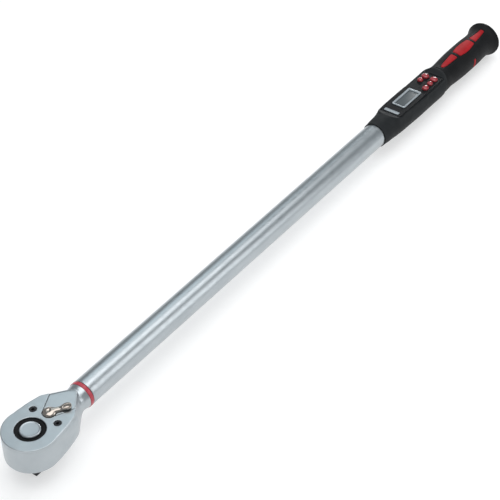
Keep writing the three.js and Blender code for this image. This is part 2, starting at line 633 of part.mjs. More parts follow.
// ---- batteries and cap ---------------------------------------------------------------------
function addBatteries() {
  const holderStart = CELLS_START - 8;
  add("battery_holder", turnedX([
    [holderStart, 0], [holderStart, SPIGOT_R], [918, SPIGOT_R], [918, CELL_R + GAP],
    [holderStart + 1.5, CELL_R + GAP], [holderStart + 1.5, 0],
  ], 28), blackPlastic);
  add("front_contact_plate", rodX(holderStart + 1.6, holderStart + 2.2, 6.6), brass);
  add("front_contact_spring", coilX(holderStart + 2.3, CELLS_START - 0.1, 5, 0.4, 3), springSteel);
  for (const cell of [0, 1]) {
    const start = CELLS_START + cell * (CELL_LENGTH + 0.2);
    const end = start + CELL_LENGTH;
    add(`battery_cell_${cell + 1}`, turnedX([
      [start, 0], [start, CELL_R], [end - 1.2, CELL_R], [end - 1.2, 2.7], [end, 2.7], [end, 0],
    ], SMALL_ROUND), brass);
  }
}

function addCap() {
  const mouth = 922;
  const seat = TUBE_END + 0.4;
  const body = turnedX([
    [mouth, 10.5], [mouth, SPIGOT_R], [seat, SPIGOT_R], [seat, CAP_R], [CAP_END - 1, CAP_R],
    [CAP_END, CAP_R - 1], [CAP_END, 0], [seat - 1, 0], [seat - 1, 10.5], [mouth, 10.5],
  ]);
  const coinSlot = block([CAP_END - 2.2, -1.3, -9], [CAP_END + 1, 1.3, 9]);
  const sealGroove = turnedX(pipe(seat - 2.6, seat - 0.6, 16, 12));
  add("battery_cap", cut(body, coinSlot, sealGroove), blackPlastic);
  add("cap_seal", turnedX(pipe(seat - 2.4, seat - 0.8, SPIGOT_R + 0.15, 12.3)), blackRubber);
  const cellsEnd = CELLS_START + 2 * CELL_LENGTH + 0.2;
  add("cap_contact_disc", rodX(seat - 1.9, seat - 1.2, 9), brass);
  add("cap_spring", coilX(cellsEnd + 0.2, seat - 2, 5, 0.4, 3), springSteel);
}

addHeadHousing();
addCover();
addDrive();
addLever();
addPawl();
addTube();
addSensor();
addHousing();
addPanel();
addGrip();
addBatteries();
addCap();

export default group;
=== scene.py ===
"""Looks of the electronic torque wrench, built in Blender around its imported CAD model.

Shapes are worked out in millimetres in the wrench's own frame: X along the tube, Z up, and the origin on
the tube's axis above the square drive. place() turns them into metres in the row frame.
"""
import json
import math

import bpy
import numpy as np
from mathutils import Matrix, Vector


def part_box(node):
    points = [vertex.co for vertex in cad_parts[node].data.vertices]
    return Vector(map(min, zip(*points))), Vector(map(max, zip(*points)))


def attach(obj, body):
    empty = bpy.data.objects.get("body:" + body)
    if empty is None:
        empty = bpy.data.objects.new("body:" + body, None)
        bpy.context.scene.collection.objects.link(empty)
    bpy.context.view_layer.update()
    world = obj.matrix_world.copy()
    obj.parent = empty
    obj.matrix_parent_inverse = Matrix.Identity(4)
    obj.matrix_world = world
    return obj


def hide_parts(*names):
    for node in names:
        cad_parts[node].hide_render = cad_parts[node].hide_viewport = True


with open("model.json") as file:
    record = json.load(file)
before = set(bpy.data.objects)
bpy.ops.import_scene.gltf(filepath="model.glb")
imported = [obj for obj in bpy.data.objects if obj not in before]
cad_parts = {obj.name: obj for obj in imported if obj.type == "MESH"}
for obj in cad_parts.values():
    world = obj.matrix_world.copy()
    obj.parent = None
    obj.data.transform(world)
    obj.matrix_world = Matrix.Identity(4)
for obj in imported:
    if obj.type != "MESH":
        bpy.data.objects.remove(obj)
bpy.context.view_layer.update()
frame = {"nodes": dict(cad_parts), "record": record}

MM = 0.001
tube_low, tube_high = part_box("main_tube")
AXIS_Z = (tube_low.z + tube_high.z) / 2 / MM

# ---- dimensions in millimetres --------------------------------------------------------------
TUBE_R = 16.0
TUBE_BORE_R = 13.5
TUBE_START, TUBE_END = tube_low.x / MM, tube_high.x / MM

HEAD_R = 32.0
HEAD_TOP = 15.3
HEAD_BOTTOM = -20.0
NECK_R = 15.7
NECK_END = 78.9
COVER_FLOOR = HEAD_TOP - 3.2
SEAM_X, SEAM_Y, SEAM_SLOPE = 24.7, 6.0, 0.463
PEAK_X = 73.0
CORNER_X, CORNER_Y = 44.0, 25.3
CONVERGENCE = 0.76
POINT_BLEND = 6.0
BEVEL_WIDTH, BEVEL_SLOPE, BEVEL_DROP = 3.2, 0.2, 1.2
LEVER_X = 30.5
LEVER_ANGLE = math.radians(-36)
LEVER_BASE_R = 7.5
RING_R, DISC_R = 17.5, 12.0
SCREW_X, SCREW_Y, SCREW_R = 23.8, 17.8, 4.15

SQUARE_HALF, SQUARE_CORNER_R, SQUARE_LENGTH = 9.525, 1.4, 23
DRIVE_END = -AXIS_Z
GEAR_TEETH, GEAR_ROOT_R, GEAR_TOOTH = 36, 17.9, 1.6
COLLAR_R = 14
DETENT_Z, DETENT_R, DETENT_BORE_R = DRIVE_END + 11, 2.4, 2.6

PANEL_START, PANEL_END, PANEL_TOP = 695.5, 803.0, 15.0
PANEL_HALF = 16.4
BED_TOP = 1.0
HOUSING_START = 660.0
PARTING_X, PARTING_SLOPE = 805.5, 0.45
LCD_START, LCD_END, LCD_HALF, LCD_BORDER = 715.0, 757.7, 10.0, 3.1
BUTTON_RISE = 3.1
PANEL_THICK = 2.5

GRIP_END, FLANGE_R = 938.0, 24.3
SLEEVE_BORE_R = 16.3
INSERT_ANGLE = math.radians(97)
CAP_START, CAP_END, CAP_R = 930.4, 942.0, 15.9


# ---- meshes ---------------------------------------------------------------------------------
def place(points):
    """Row-frame metres from millimetres in the wrench's own frame."""
    return (np.asarray(points, float) + (0, 0, AXIS_Z)) * MM


def make_object(name, points, faces, sharp_degrees=40):
    mesh = bpy.data.meshes.new(name)
    mesh.from_pydata(place(points).tolist(), [], [list(map(int, f)) for f in faces])
    mesh.validate()
    mesh.shade_smooth()
    mesh.set_sharp_from_angle(angle=math.radians(sharp_degrees))
    obj = bpy.data.objects.new(name, mesh)
    bpy.context.scene.collection.objects.link(obj)
    return obj


def normals_of(field, points, step):
    slopes = []
    for axis in range(3):
        shift = np.zeros(3)
        shift[axis] = step
        slopes.append(field(*(points + shift).T) - field(*(points - shift).T))
    slopes = np.stack(slopes, 1)
    return slopes / np.maximum(np.linalg.norm(slopes, axis=1, keepdims=True), 1e-9)


def contour(name, field, low, high, cell, sharp_degrees=40):
    """The surface where field(x, y, z) is zero, by dual contouring, which keeps edges crisp."""
    low = np.array(low, float)
    shape = np.ceil((np.array(high) - low) / cell).astype(int) + 1
    grid = np.meshgrid(*[low[a] + cell * np.arange(shape[a]) for a in range(3)], indexing="ij")
    value = field(*grid)
    inside = value < 0
    crossings, normals, quads = [], [], []
    for axis in range(3):
        second, third = (axis + 1) % 3, (axis + 2) % 3
        step = np.eye(3, dtype=int)[axis]
        lower = tuple(slice(0, -1) if a == axis else slice(None) for a in range(3))
        upper = tuple(slice(1, None) if a == axis else slice(None) for a in range(3))
        edge = np.argwhere(inside[lower] != inside[upper])
        v0 = value[tuple(edge.T)]
        v1 = value[tuple((edge + step).T)]
        points = low + cell * (edge + (v0 / (v0 - v1))[:, None] * step)
        around = []
        for shift_second, shift_third in ((-1, -1), (0, -1), (0, 0), (-1, 0)):
            corner = edge.copy()
            corner[:, second] += shift_second
            corner[:, third] += shift_third
            around.append(np.ravel_multi_index(corner.T, shape))
        around = np.stack(around, 1)
        around[v0 > 0] = around[v0 > 0][:, ::-1]
        crossings.append(points)
        normals.append(normals_of(field, points, cell * 0.02))
        quads.append(around)
    crossings, normals, quads = map(np.concatenate, (crossings, normals, quads))
    cells, faces = np.unique(quads, return_inverse=True)
    faces = faces.reshape(quads.shape)
    points = settle_vertices(len(cells), faces, crossings, normals, cell)
    return make_object(name, points, faces, sharp_degrees)


def settle_vertices(count, faces, crossings, normals, cell):
    """Each vertex goes where the surface planes round its cell meet."""
    hits = np.zeros(count)
    middle = np.zeros((count, 3))
    planes = np.zeros((count, 3, 3))
    offsets = np.zeros((count, 3))
    outer = normals[:, :, None] * normals[:, None, :]
    pull = normals * (normals * crossings).sum(1, keepdims=True)
    for corner in faces.T:
        np.add.at(hits, corner, 1)
        np.add.at(middle, corner, crossings)
        np.add.at(planes, corner, outer)
        np.add.at(offsets, corner, pull)
    middle /= hits[:, None]
    rest = offsets - np.einsum("nij,nj->ni", planes, middle)
    damped = planes + 0.08 * np.eye(3)
    shift = np.linalg.solve(damped, rest[:, :, None])[:, :, 0]
    return middle + np.clip(shift, -0.8 * cell, 0.8 * cell)


def stack(name, rings, sharp_degrees=40):
    """A closed skin over rings of points, with a flat fan of faces at each end."""
    rings = np.asarray(rings, float)
    count, around = rings.shape[:2]
    index = np.arange(count * around).reshape(count, around)
    following = np.roll(index, -1, axis=1)
    sides = np.stack([index[:-1], following[:-1], following[1:], index[1:]], -1).reshape(-1, 4)
    faces = sides.tolist() + [index[0][::-1].tolist(), index[-1].tolist()]
    return make_object(name, rings.reshape(-1, 3), faces, sharp_degrees)


def turn_x(name, profile, sides=144, sharp_degrees=30):
    """A solid turned about the tube's axis from a closed profile of (x, radius) points."""
    return turn(name, profile, sides, sharp_degrees, lambda a, r, c, s: (a, r * c, r * s))


def turn_z(name, profile, sides=144, centre=(0, 0), sharp_degrees=30):
    """A solid turned about a vertical axis from a closed profile of (height, radius) points."""
    return turn(name, profile, sides, sharp_degrees,
                lambda a, r, c, s: (centre[0] + r * c, centre[1] - r * s, a))


def turn(name, profile, sides, sharp_degrees, put):
    """Revolves a closed profile. A profile point on the axis becomes a single vertex."""
    points, faces, rings = [], [], []
    angles = np.linspace(0, 2 * np.pi, sides, endpoint=False)
    for along, radius in profile:
        turns = angles if radius > 1e-6 else angles[:1]
        rings.append(range(len(points), len(points) + len(turns)))
        points += [put(along, radius, math.cos(a), math.sin(a)) for a in turns]
    for ring, after in zip(rings, rings[1:] + rings[:1]):
        if len(ring) == 1 and len(after) == 1:
            continue
        for i in range(sides):
            j = (i + 1) % sides
            corners = [ring[i % len(ring)], ring[j % len(ring)], after[j % len(after)], after[i % len(after)]]
            faces.append(list(dict.fromkeys(corners)))
    return make_object(name, points, faces, sharp_degrees)


def rounded(corners, radius, steps=4):
    """A profile whose corners, other than those on the axis, are rounded off."""
    corners = [np.array(c, float) for c in corners]
    result = []
    for before, here, after in zip(corners[-1:] + corners[:-1], corners, corners[1:] + corners[:1]):
        to_before, to_after = before - here, after - here
        reach = min(radius, np.linalg.norm(to_before) / 2.1, np.linalg.norm(to_after) / 2.1)
        if here[1] < 1e-6:
            result.append(tuple(here))
            continue
        start = here + to_before / np.linalg.norm(to_before) * reach
        end = here + to_after / np.linalg.norm(to_after) * reach
        for t in np.linspace(0, 1, steps + 1):
            result.append(tuple((1 - t) ** 2 * start + 2 * t * (1 - t) * here + t ** 2 * end))
    return result


def rounded_rectangle(x0, x1, half, radius, inset=0.0, steps=8):
    """Points round a rectangle that is symmetrical about the X axis, drawn in by inset."""
    r = max(radius - inset, 0.05)
    points = []
    middles = ((x1 - inset - r, half - inset - r, 0), (x0 + inset + r, half - inset - r, 90),
               (x0 + inset + r, r + inset - half, 180), (x1 - inset - r, r + inset - half, 270))
    for x, y, start in middles:
        for angle in np.radians(np.linspace(start, start + 90, steps)):
            points.append((x + r * math.cos(angle), y + r * math.sin(angle)))
    return np.array(points)


def lift(outline, z):
    return np.column_stack([outline, np.full(len(outline), z)])


# ---- fields: negative inside, in millimetres --------------------------------------------------
def curve(points):
    """A smooth function through (x, value) points, level beyond its ends."""
    xs, values = np.array(points, float).T
    slopes = np.gradient(values, xs)

    def at(x):
        x = np.clip(x, xs[0], xs[-1])
        i = np.clip(np.searchsorted(xs, x, side="right") - 1, 0, len(xs) - 2)
        width = xs[i + 1] - xs[i]
        t = (x - xs[i]) / width
        return (values[i] * (1 + 2 * t) * (1 - t) ** 2 + slopes[i] * width * t * (1 - t) ** 2
                + values[i + 1] * t * t * (3 - 2 * t) + slopes[i + 1] * width * t * t * (t - 1))
    return at


def soft_min(a, b, blend):
    share = np.clip(0.5 + 0.5 * (b - a) / blend, 0, 1)
    return b + (a - b) * share - blend * share * (1 - share)


def soft_max(a, b, blend):
    return -soft_min(-a, -b, blend)


def ramp(x, start, end):
    t = np.clip((x - start) / (end - start), 0, 1)
    return t * t * (3 - 2 * t)


def cylinder_z(x, y, z, centre, radius, low, high, blend=0.0):
    side = np.hypot(x - centre[0], y - centre[1]) - radius
    ends = np.maximum(low - z, z - high)
    return soft_max(side, ends, blend) if blend else np.maximum(side, ends)


def cylinder_x(x, y, z, radius, low, high):
    return np.maximum(np.hypot(y, z) - radius, np.maximum(low - x, x - high))


def box(x, y, z, centre, half, radius=0.0):
    gaps = [np.abs(v - c) - h + radius for v, c, h in zip((x, y, z), centre, half)]
    outside = np.sqrt(sum(np.maximum(g, 0) ** 2 for g in gaps))
    return outside + np.minimum(np.maximum.reduce(gaps), 0) - radius


# ---- head -----------------------------------------------------------------------------------
head_width = curve([(0, 32), (16, 31.8), (32, 31), (38, 30.2), (45, 28.2), (51, 24.1), (58, 19.6),
                    (64, 16.4), (70, 14.9), (74, 15), (NECK_END, NECK_R)])
head_crown = curve([(0, 19.4), (38, 19.4), (46, 18.6), (52, 16.4), (58, 14.6), (64, 13.9), (70, 13.9),
                    (74, 14.7), (NECK_END, NECK_R)])
head_belly = curve([(0, 20), (50, 20), (58, 18.9), (64, 17.2), (70, 15.3), (74, 15.2), (NECK_END, NECK_R)])
upper_squareness = curve([(0, 14), (5, 8.6), (15, 5.6), (25, 4.4), (35, 3.7), (44, 3.1), (51, 2.7), (58, 2.3),
                          (64, 2), (NECK_END, 2)])
lower_squareness = curve([(0, 36), (5, 28), (15, 13), (25, 7), (35, 4.7), (44, 3.8), (51, 3.2), (58, 2.5),
                          (64, 2), (NECK_END, 2)])


def head_body(x, y, z):
    """Nearly square in the head, a circle in the neck."""
    width = np.where(x < 0, HEAD_R, head_width(x))
    height = np.where(z > 0, head_crown(x), head_belly(x))
    power = np.where(z > 0, upper_squareness(x), lower_squareness(x))
    side = np.where(x < 0, np.hypot(x, y), np.abs(y)) / width
    return ((side ** power + (np.abs(z) / height) ** power) ** (1 / power) - 1) * width


def plateau_edge(x, y):
    """Distance in plan outside the flat top's outline: slightly tapered sides, then a blunt point."""
    taper = (np.abs(y) - CORNER_Y + 0.165 * (x - CORNER_X)) * 0.986
    sides = soft_max(taper, converging_edge(x, y), 1.2)
    return soft_max(sides, x - PEAK_X, POINT_BLEND)


def converging_edge(x, y):
    return (np.abs(y) - CORNER_Y + CONVERGENCE * (x - CORNER_X)) / math.hypot(1, CONVERGENCE)


def head_blank(x, y, z, chamfered):
    edge = plateau_edge(x, y)
    lean = 0.12 * (HEAD_TOP - z) * ramp(x, 42, 50)
    wall = np.maximum(edge - lean, np.maximum(-2 - z, 24 - x))
    solid = soft_min(head_body(x, y, z), wall, 1.6)
    neck = ramp(x, 74, 77.5)
    top = z - HEAD_TOP - 4 * neck
    if chamfered:
        point = soft_max(converging_edge(x, y), x - PEAK_X, POINT_BLEND)
        drop = np.clip(BEVEL_SLOPE * (point + BEVEL_WIDTH), 0, BEVEL_DROP)
        top = np.maximum(top, (top + drop * (1 - neck)) * 0.9)
    return np.maximum(soft_max(solid, top, 0.8), x - NECK_END)


def behind_seam(x, y):
    """Positive behind the cover's V-shaped rear edge."""
    line = (SEAM_SLOPE * (x - SEAM_X) - (np.abs(y) - SEAM_Y)) / math.hypot(1, SEAM_SLOPE)
    return np.minimum(x - SEAM_X, line)


def lever_pocket(x, y, z):
    return cylinder_z(x, y, z, (LEVER_X, 0), LEVER_BASE_R + 0.75, HEAD_TOP - 1.2, 30)


def head_housing_field(x, y, z):
    solid = head_blank(x, y, z, True)
    under_cover = np.maximum(behind_seam(x, y) - 0.22, COVER_FLOOR - 0.05 - z)
    solid = soft_max(solid, -under_cover, 0.35)
    cuts = np.minimum.reduce([
        cylinder_z(x, y, z, (0, 0), 21, -14.5, COVER_FLOOR + 1),
        cylinder_z(x, y, z, (0, 0), 15, HEAD_BOTTOM - 10, -14),
        cylinder_z(x, y, z, (LEVER_X, 0), 12.5, -8, 7),
        cylinder_z(x, y, z, (LEVER_X, 0), 3.3, 6, HEAD_TOP),
    ])
    solid = soft_max(solid, -cuts, 0.8)
    return soft_max(solid, -lever_pocket(x, y, z), 0.5)


def cover_field(x, y, z):
    solid = head_blank(x, y, z, False)
    solid = soft_max(solid, behind_seam(x, y) + 0.22, 0.5)
    solid = np.maximum(solid, COVER_FLOOR - z)
    holes = [cylinder_z(x, y, z, (SCREW_X, side * SCREW_Y), SCREW_R + 0.2, 0, 30) for side in (-1, 1)]
    holes.append(cylinder_z(x, y, z, (0, 0), RING_R + 0.15, 0, 30))
    holes.append(lever_pocket(x, y, z))
    return soft_max(solid, -np.minimum.reduce(holes), 0.5)


def make_head():
    reach = HEAD_R + 1.3
    housing = contour("head_housing_shell", head_housing_field,
                      (-reach, -reach, HEAD_BOTTOM - 1.3), (80, reach, 17.5), 0.54)
    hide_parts("head_housing")
    finish(housing, "wrench_body", "satin_chrome")
    cover = contour("head_cover", cover_field,
                    (-reach, -reach, COVER_FLOOR - 1), (56, reach, HEAD_TOP + 1), 0.4)
    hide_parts("cover_plate")
    finish(cover, "wrench_body", "satin_chrome")
    for side, sign in (("left", 1), ("right", -1)):
        make_cover_screw(side, sign)
    make_ring_and_disc()


def make_cover_screw(side, sign):
    def field(x, y, z):
        x = x - SCREW_X
        y = y - sign * SCREW_Y
        head = cylinder_z(x, y, z, (0, 0), SCREW_R, COVER_FLOOR - 0.3, HEAD_TOP - 0.25, 0.9)
        shank = cylinder_z(x, y, z, (0, 0), 2, -1, COVER_FLOOR)
        angle = np.arctan2(y, x)
        hexagon = np.hypot(x, y) * np.cos((angle % (np.pi / 3)) - np.pi / 6) - 1.7
        mouth = np.hypot(x, y) - 2.2 + (HEAD_TOP - 0.25 - z)
        socket = np.maximum(np.minimum(hexagon, mouth), COVER_FLOOR + 0.6 - z)
        return np.maximum(np.minimum(head, shank), -socket)
    low = (SCREW_X - 5, sign * SCREW_Y - 5, -2)
    high = (SCREW_X + 5, sign * SCREW_Y + 5, HEAD_TOP + 1)
    screw = contour(f"cover_screw_{side}_socket_head", field, low, high, 0.25)
    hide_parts(f"cover_screw_{side}")
    finish(screw, "wrench_body", "black_steel")


def make_ring_and_disc():
    ring_top = HEAD_TOP - 1.6
    ring = turn_z("seal_ring_moulding", rounded([
        (COVER_FLOOR - 2, DISC_R + 0.45), (ring_top - 0.5, DISC_R + 0.45), (ring_top - 0.5, DISC_R + 1.4),
        (ring_top, DISC_R + 2.2), (ring_top, RING_R - 0.9), (ring_top + 0.9, RING_R - 0.3),
        (ring_top + 0.9, RING_R), (COVER_FLOOR - 2, RING_R),
    ], 0.3))
    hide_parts("seal_ring")
    finish(ring, "wrench_body", "black_rubber")
    disc = turn_z("anvil_disc", rounded([
        (HEAD_TOP - 3, 0), (HEAD_TOP + 0.15, 0), (HEAD_TOP + 0.15, DISC_R - 2.3),
        (HEAD_TOP + 0.45, DISC_R - 1.5), (HEAD_TOP + 0.4, DISC_R - 0.8), (HEAD_TOP - 0.6, DISC_R),
        (HEAD_TOP - 3, DISC_R),
    ], 0.3))
    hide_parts("anvil_cap")
    finish(disc, "drive", "satin_chrome")


# ---- drive ------------------------------------------------------------------------------------
def anvil_field(x, y, z):
    radius = np.hypot(x, y)
    angle = np.arctan2(y, x)
    tooth = np.abs(((angle * GEAR_TEETH / (2 * np.pi)) % 1) - 0.5)
    gear_r = GEAR_ROOT_R + GEAR_TOOTH * ramp(tooth, 0.42, 0.12)
    gear = np.maximum(radius - gear_r, np.maximum(-14.2 - z, z - (HEAD_TOP - 5.8)))
    hub = cylinder_z(x, y, z, (0, 0), DISC_R - 2, 0, HEAD_TOP - 3)
    collar = cylinder_z(x, y, z, (0, 0), COLLAR_R, DRIVE_END + SQUARE_LENGTH, -13.5, 0.8)
    core = SQUARE_HALF - SQUARE_CORNER_R
    corner = np.hypot(np.maximum(np.abs(x) - core, 0), np.maximum(np.abs(y) - core, 0))
    square = np.where(corner > 0, corner - SQUARE_CORNER_R, np.maximum(np.abs(x), np.abs(y)) - SQUARE_HALF)
    taper = np.maximum(DRIVE_END + 1.6 - z, 0) * 0.6
    square = soft_max(square + taper, np.maximum(DRIVE_END - z, z + 20), 0.6)
    solid = np.minimum(np.minimum(gear, hub), soft_min(collar, square, 1.5))
    seat = np.maximum(np.hypot(y, z - DETENT_Z) - DETENT_BORE_R, 2 - x)
    return soft_max(solid, -seat, 0.4)


def make_drive():
    reach = 20.3
    anvil = contour("square_drive_anvil", anvil_field,
                    (-reach, -reach, DRIVE_END - 0.9), (reach, reach, 13.5), 0.45)
    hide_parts("ratchet_anvil")
    finish(anvil, "drive", "black_steel")
    ball_centre = (SQUARE_HALF - DETENT_R / 2, 0, DETENT_Z)
    angles = np.radians(np.linspace(90, -90, 25))
    profile = [(ball_centre[2] + DETENT_R * math.sin(a), DETENT_R * math.cos(a)) for a in angles]
    ball = turn_z("detent_ball_polished", profile, 48, centre=ball_centre[:2])
    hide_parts("detent_ball")
    finish(ball, "detent", "spring_steel")


# ---- reversing lever --------------------------------------------------------------------------
def lever_field(x, y, z):
    x = x - LEVER_X
    along = x * math.cos(LEVER_ANGLE) + y * math.sin(LEVER_ANGLE)
    across = y * math.cos(LEVER_ANGLE) - x * math.sin(LEVER_ANGLE)
    z = z - HEAD_TOP
    dome = np.sqrt((along / LEVER_BASE_R) ** 2 + (across / LEVER_BASE_R) ** 2 + (np.maximum(z, 0) / 3.4) ** 2)
    base = np.maximum((dome - 1) * 4.5, -0.8 - z)
    half = 3.2 + 1.4 * ramp(along, 12, 20)
    outline = np.maximum(np.abs(across) - half, -along)
    outline = np.where(along > 20.2, np.hypot(along - 20.2, across) - 4.6, outline)
    height = 3.3 + 2.5 * ramp(along, 11, 19)
    ridge = z - height + 0.07 * across ** 2 - 0.06 * across
    underside = 0.4 + 1.4 * ramp(along, 10, 17) - z
    paddle = soft_max(soft_max(outline, ridge * 0.9, 1.8), underside, 0.8)
    groove = 4.4 - np.sqrt((along - 19.4) ** 2 * 0.45 + (across + 1.8) ** 2 * 2.3 + (z - 7.3) ** 2)
    paddle = soft_max(paddle, groove, 0.5)
    body = soft_max(soft_min(base, paddle, 1.6), 0.3 - z, 0.5)
    dimple = 3.8 - np.sqrt((along + 0.6) ** 2 + across ** 2 + (z - 6.2) ** 2)
    body = soft_max(body, dimple, 0.6)
    shaft = cylinder_z(x, y, z, (0, 0), 3, -6.6 - HEAD_TOP, 1)
    return np.minimum(np.minimum(body, np.maximum(base, z - 0.6)), shaft)


def make_lever():
    lever = contour("reversing_lever_casting", lever_field,
                    (22, -19.5, -8), (56, 8.5, HEAD_TOP + 7), 0.22, 60)
    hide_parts("reversing_lever")
    finish(lever, "lever", "polished_nickel")


# ---- tube -------------------------------------------------------------------------------------
def make_tube():
    start, end = NECK_END + 0.1, TUBE_START - 0.6
    band = turn_x("neck_band_enamelled", rounded([
        (start, TUBE_BORE_R), (start, TUBE_R + 0.2), (end, TUBE_R + 0.2), (end, TUBE_BORE_R),
    ], 0.5))
    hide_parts("neck_band")
    finish(band, "wrench_body", "red_enamel")
    stretch = np.linspace(TUBE_START + 3, TUBE_END - 3, 60)
    skin = rounded([(TUBE_END, TUBE_BORE_R), (TUBE_START, TUBE_BORE_R), (TUBE_START, TUBE_R)], 0.6)
    skin = [p for p in skin if p[1] < TUBE_R - 1e-6 or p[0] < TUBE_START + 2]
    profile = skin + [(x, TUBE_R) for x in stretch] + [(TUBE_END - 0.4, TUBE_R), (TUBE_END, TUBE_R - 0.4)]
    tube = turn_x("main_tube_chromed", profile, 160)
    cut_away(tube, (PANEL_START - 6.5, -20, BED_TOP), (PANEL_END + 5, 20, 20))
    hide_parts("main_tube")
    finish(tube, "wrench_body", "satin_chrome")


def cut_away(obj, low, high):
    """Takes a block out of a piece."""
    corners = [[(low, high)[end][axis] for axis, end in enumerate(ends)] for ends in np.ndindex(2, 2, 2)]
    faces = [(0, 1, 3, 2), (4, 6, 7, 5), (0, 4, 5, 1), (2, 3, 7, 6), (0, 2, 6, 4), (1, 5, 7, 3)]
    block = make_object("block", corners, faces)
    cutter = obj.modifiers.new("cut", "BOOLEAN")
    cutter.operation = "DIFFERENCE"
    cutter.solver = "EXACT"
    cutter.object = block
    settled = obj.evaluated_get(bpy.context.evaluated_depsgraph_get())
    obj.data = bpy.data.meshes.new_from_object(settled)
    obj.modifiers.clear()
    bpy.data.objects.remove(block)


# ---- display housing --------------------------------------------------------------------------
housing_radius = curve([(HOUSING_START, 17.3), (664, 17.5), (672, 18.2), (680, 18.6), (688, 19.3),
                        (704, 20.2), (720, 20.5), (745, 21), (770, 20.9), (800, 20.9), (808, 20.7),
                        (814, 20.1), (820, 19.8)])
housing_crown = curve([(HOUSING_START, 19), (680, 18.9), (685, 18.4), (PANEL_START - 1, PANEL_TOP),
                       (700, PANEL_TOP), (PANEL_END, PANEL_TOP), (PANEL_END + 1.5, PANEL_TOP + 0.2),
                       (810, 18.6), (814, 19.6), (820, 20)])
FLANK = math.radians(13.2)


def housing_skin(x, y, z):
    radius = housing_radius(x)
    on_panel = ramp(x, 684, 696) - ramp(x, 800, 811)
    shoulder_cut = 0.8 * ramp(x, 758, 764)
    circle = np.hypot(y, z) - radius
    flank = np.abs(y) * math.cos(FLANK) + z * math.sin(FLANK) - radius + shoulder_cut
    swollen = np.where(z > radius * math.sin(FLANK), np.minimum(circle, flank), circle)
    side = circle + (swollen - circle) * on_panel
    return soft_max(side, (z - housing_crown(x)) * 0.93, 1.5)


def parting(x, z):
    """Positive behind the slanted joint between housing and grip, in millimetres."""
    return (x - PARTING_X - PARTING_SLOPE * z) / math.hypot(1, PARTING_SLOPE)


def housing_field(x, y, z):
    solid = soft_max(housing_skin(x, y, z), HOUSING_START - x, 1.0)
    solid = soft_max(solid, parting(x, z) + 0.25, 1.2)
    half = PANEL_HALF + 0.25
    middle = ((PANEL_START + PANEL_END) / 2, 0, PANEL_TOP + 7.3)
    bed = box(x, y, z, middle, ((PANEL_END - PANEL_START) / 2 + 0.25, half, 10), 0.0)
    bed = np.maximum(bed, panel_corner(x, y, 0.25))
    bore = cylinder_x(x, y, z, SLEEVE_BORE_R, 0, 2000)
    filled = box(x, y, z, ((PANEL_START + PANEL_END) / 2, 0, 21.3), (59, 20, 20))
    bore = np.maximum(bore, -filled)
    pocket = box(x, y, z, (750.5, 0, 8), (51, 13.2, 5))
    well = box(x, y, z, (750.5, 0, 1.5), (51, 11, 2.5))
    solid = soft_max(solid, -bed, 0.5)
    holes = [cylinder_z(x, y, z, (screw_x, 0), 3.1, -30, head + 2.1) for screw_x, head in SCREWS_UNDER]
    return np.maximum(solid, -np.minimum.reduce([bore, pocket, well, *holes]))


def panel_corner(x, y, grow):
    """Distance outside the face panel's outline, whose corners have a 3 mm radius."""
    middle = (PANEL_START + PANEL_END) / 2
    gap_x = np.abs(x - middle) - (PANEL_END - PANEL_START) / 2 - grow + 3
    gap_y = np.abs(y) - PANEL_HALF - grow + 3
    return np.hypot(np.maximum(gap_x, 0), np.maximum(gap_y, 0)) + np.minimum(np.maximum(gap_x, gap_y), 0) - 3


SCREWS_UNDER = ((678, -18.1), (788, -20.4))
BUTTONS = (
    ("button_rear_left", 793, 6.7, 4.7, 5.3, 12),
    ("button_rear_right", 793, -6.7, 4.7, 5.3, -12),
    ("button_middle_left", 781.8, 7.7, 3.8, 3.9, 0),
    ("button_middle_right", 781.8, -7.7, 3.8, 3.9, 0),
    ("button_front", 769.8, -8.2, 4.8, 4.3, 0),
)


def make_housing():
    housing = contour("display_housing_moulding", housing_field,
                      (HOUSING_START - 1.5, -23, -22.5), (818, 23, 20.8), 0.7)
    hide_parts("display_housing")
    finish(housing, "wrench_body", "black_plastic")
    for (x, head), place_name in zip(SCREWS_UNDER, ("front", "rear")):
        screw = contour(f"housing_screw_{place_name}_head", under_screw(x, head),
                        (x - 3.6, -3.6, head - 1), (x + 3.6, 3.6, -11), 0.25)
        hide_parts(f"housing_screw_{place_name}")
        finish(screw, "wrench_body", "black_steel")


def under_screw(at_x, head):
    def field(x, y, z):
        x = x - at_x
        button = cylinder_z(x, y, z, (0, 0), 2.8, head, head + 2, 1.0)
        shank = cylinder_z(x, y, z, (0, 0), 1.4, head + 1, -12)
        slots = [np.maximum(np.abs(a) - 0.4, np.abs(b) - 1.7) for a, b in ((x, y), (y, x))]
        cross = np.minimum(*slots)
        recess = np.maximum(cross, z - head - 1.2)
        return np.maximum(np.minimum(button, shank), -recess)
    return field


def panel_field(x, y, z):
    faces = np.maximum(PANEL_TOP - PANEL_THICK - z, z - PANEL_TOP)
    plate = soft_max(panel_corner(x, y, 0), faces, 0.7)
    middle = (LCD_START + LCD_END) / 2
    opening = ((LCD_END - LCD_START) / 2 - LCD_BORDER, LCD_HALF - LCD_BORDER, 20)
    window = box(x, y, z, (middle, 0, PANEL_TOP), opening)
    holes = [window]
    for _, bx, by, half_x, half_y, _ in BUTTONS:
        size = min(half_x, half_y)
        reach = np.hypot((x - bx) / (half_x + 0.25), (y - by) / (half_y + 0.25))
        holes.append((reach - 1) * size)
    return soft_max(plate, -np.minimum.reduce(holes), 0.5)


def make_panel():
    panel = contour("face_panel_moulding", panel_field,
                    (PANEL_START - 1, -PANEL_HALF - 1, PANEL_TOP - 3.4),
                    (PANEL_END + 1, PANEL_HALF + 1, PANEL_TOP + 1), 0.42)
    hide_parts("face_panel")
    finish(panel, "wrench_body", "panel_plastic")
    make_bezel()
    make_window()
    make_nameplate()
    for button in BUTTONS:
        make_button(*button)


